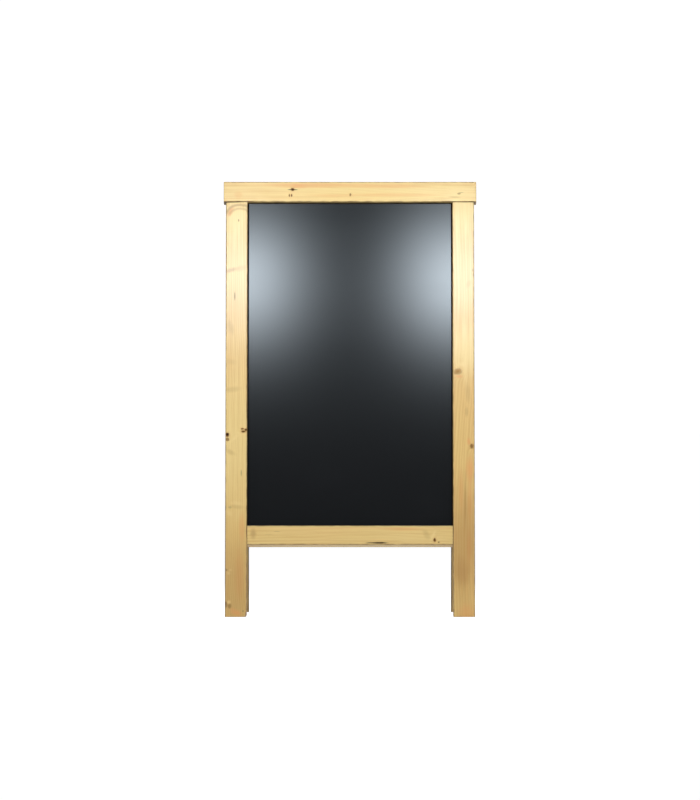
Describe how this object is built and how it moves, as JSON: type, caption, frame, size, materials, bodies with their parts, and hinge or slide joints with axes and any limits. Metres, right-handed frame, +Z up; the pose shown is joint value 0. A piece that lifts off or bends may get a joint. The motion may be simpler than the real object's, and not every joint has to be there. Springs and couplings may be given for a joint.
{
  "type": "sandwich board",
  "caption": "Free-standing folding A-board: varnished pine frames hinged at the top, each holding a recessed black chalk panel, held open by folding steel stays.",
  "frame": {"origin": "on the ground, midway between the front and rear feet and between the left and right legs, with the board standing open", "axes": "+X to the right seen from the front, +Z up, the front panel faces -Y"},
  "size_m": [0.7, 0.6292, 1.2001],
  "materials": {
    "pine": "satin varnish",
    "dowel": "raw",
    "chalkboard": "satin laminate",
    "zinc_steel": "zinc plated"
  },
  "bodies": {
    "front_frame": {"front_header_rail": "pine", "front_bottom_rail": "pine", "front_chalk_panel": "chalkboard", "front_left_stile": "pine", "front_left_dowel_header_inner": "dowel", "front_left_dowel_header_outer": "dowel", "front_left_dowel_rail_upper": "dowel", "front_left_dowel_rail_lower": "dowel", "left_hinge_front_leaf": "zinc_steel", "left_hinge_front_screw_left": "zinc_steel", "left_hinge_front_screw_middle": "zinc_steel", "left_hinge_front_screw_right": "zinc_steel", "left_stay_front_pivot_screw": "zinc_steel", "left_stay_front_washer": "zinc_steel", "front_right_stile": "pine", "front_right_dowel_header_inner": "dowel", "front_right_dowel_header_outer": "dowel", "front_right_dowel_rail_upper": "dowel", "front_right_dowel_rail_lower": "dowel", "right_hinge_front_leaf": "zinc_steel", "right_hinge_front_screw_left": "zinc_steel", "right_hinge_front_screw_middle": "zinc_steel", "right_hinge_front_screw_right": "zinc_steel", "right_stay_front_pivot_screw": "zinc_steel", "right_stay_front_washer": "zinc_steel", "left_hinge_pin": "zinc_steel", "right_hinge_pin": "zinc_steel"},
    "rear_frame": {"rear_header_rail": "pine", "rear_bottom_rail": "pine", "rear_chalk_panel": "chalkboard", "rear_left_stile": "pine", "rear_left_dowel_header_inner": "dowel", "rear_left_dowel_header_outer": "dowel", "rear_left_dowel_rail_upper": "dowel", "rear_left_dowel_rail_lower": "dowel", "left_hinge_rear_leaf": "zinc_steel", "left_hinge_rear_screw_left": "zinc_steel", "left_hinge_rear_screw_middle": "zinc_steel", "left_hinge_rear_screw_right": "zinc_steel", "left_stay_rear_pivot_screw": "zinc_steel", "left_stay_rear_bush": "zinc_steel", "rear_right_stile": "pine", "rear_right_dowel_header_inner": "dowel", "rear_right_dowel_header_outer": "dowel", "rear_right_dowel_rail_upper": "dowel", "rear_right_dowel_rail_lower": "dowel", "right_hinge_rear_leaf": "zinc_steel", "right_hinge_rear_screw_left": "zinc_steel", "right_hinge_rear_screw_middle": "zinc_steel", "right_hinge_rear_screw_right": "zinc_steel", "right_stay_rear_pivot_screw": "zinc_steel", "right_stay_rear_bush": "zinc_steel"},
    "left_stay_front_link": {"left_stay_front_link": "zinc_steel"},
    "left_stay_rear_link": {"left_stay_rear_link": "zinc_steel", "left_stay_knee_rivet": "zinc_steel"},
    "right_stay_front_link": {"right_stay_front_link": "zinc_steel"},
    "right_stay_rear_link": {"right_stay_rear_link": "zinc_steel", "right_stay_knee_rivet": "zinc_steel"}
  },
  "joints": [
    {"name": "fold", "type": "hinge", "parent": "front_frame", "child": "rear_frame", "pos_m": [0, 0, 1.19619], "axis": [-1, 0, 0], "range_deg": [0, 26]},
    {"name": "left_stay_front_pivot", "type": "hinge", "parent": "front_frame", "child": "left_stay_front_link", "pos_m": [-0.2805, -0.18873, 0.41872], "axis": [1, 0, 0], "range_deg": [0, 74.28]},
    {"name": "left_stay_rear_pivot", "type": "hinge", "parent": "rear_frame", "child": "left_stay_rear_link", "pos_m": [-0.2785, 0.18873, 0.41872], "axis": [-1, 0, 0], "range_deg": [0, 74.28]},
    {"name": "right_stay_front_pivot", "type": "hinge", "parent": "front_frame", "child": "right_stay_front_link", "pos_m": [0.2805, -0.18873, 0.41872], "axis": [1, 0, 0], "range_deg": [0, 74.28]},
    {"name": "right_stay_rear_pivot", "type": "hinge", "parent": "rear_frame", "child": "right_stay_rear_link", "pos_m": [0.2785, 0.18873, 0.41872], "axis": [-1, 0, 0], "range_deg": [0, 74.28]}
  ],
  "couplings": [
    {"joint": "left_stay_front_pivot", "follows": "fold", "ratio": 2.8564},
    {"joint": "left_stay_rear_pivot", "follows": "fold", "ratio": 2.8564},
    {"joint": "right_stay_front_pivot", "follows": "fold", "ratio": 2.8564},
    {"joint": "right_stay_rear_pivot", "follows": "fold", "ratio": 2.8564}
  ]
}
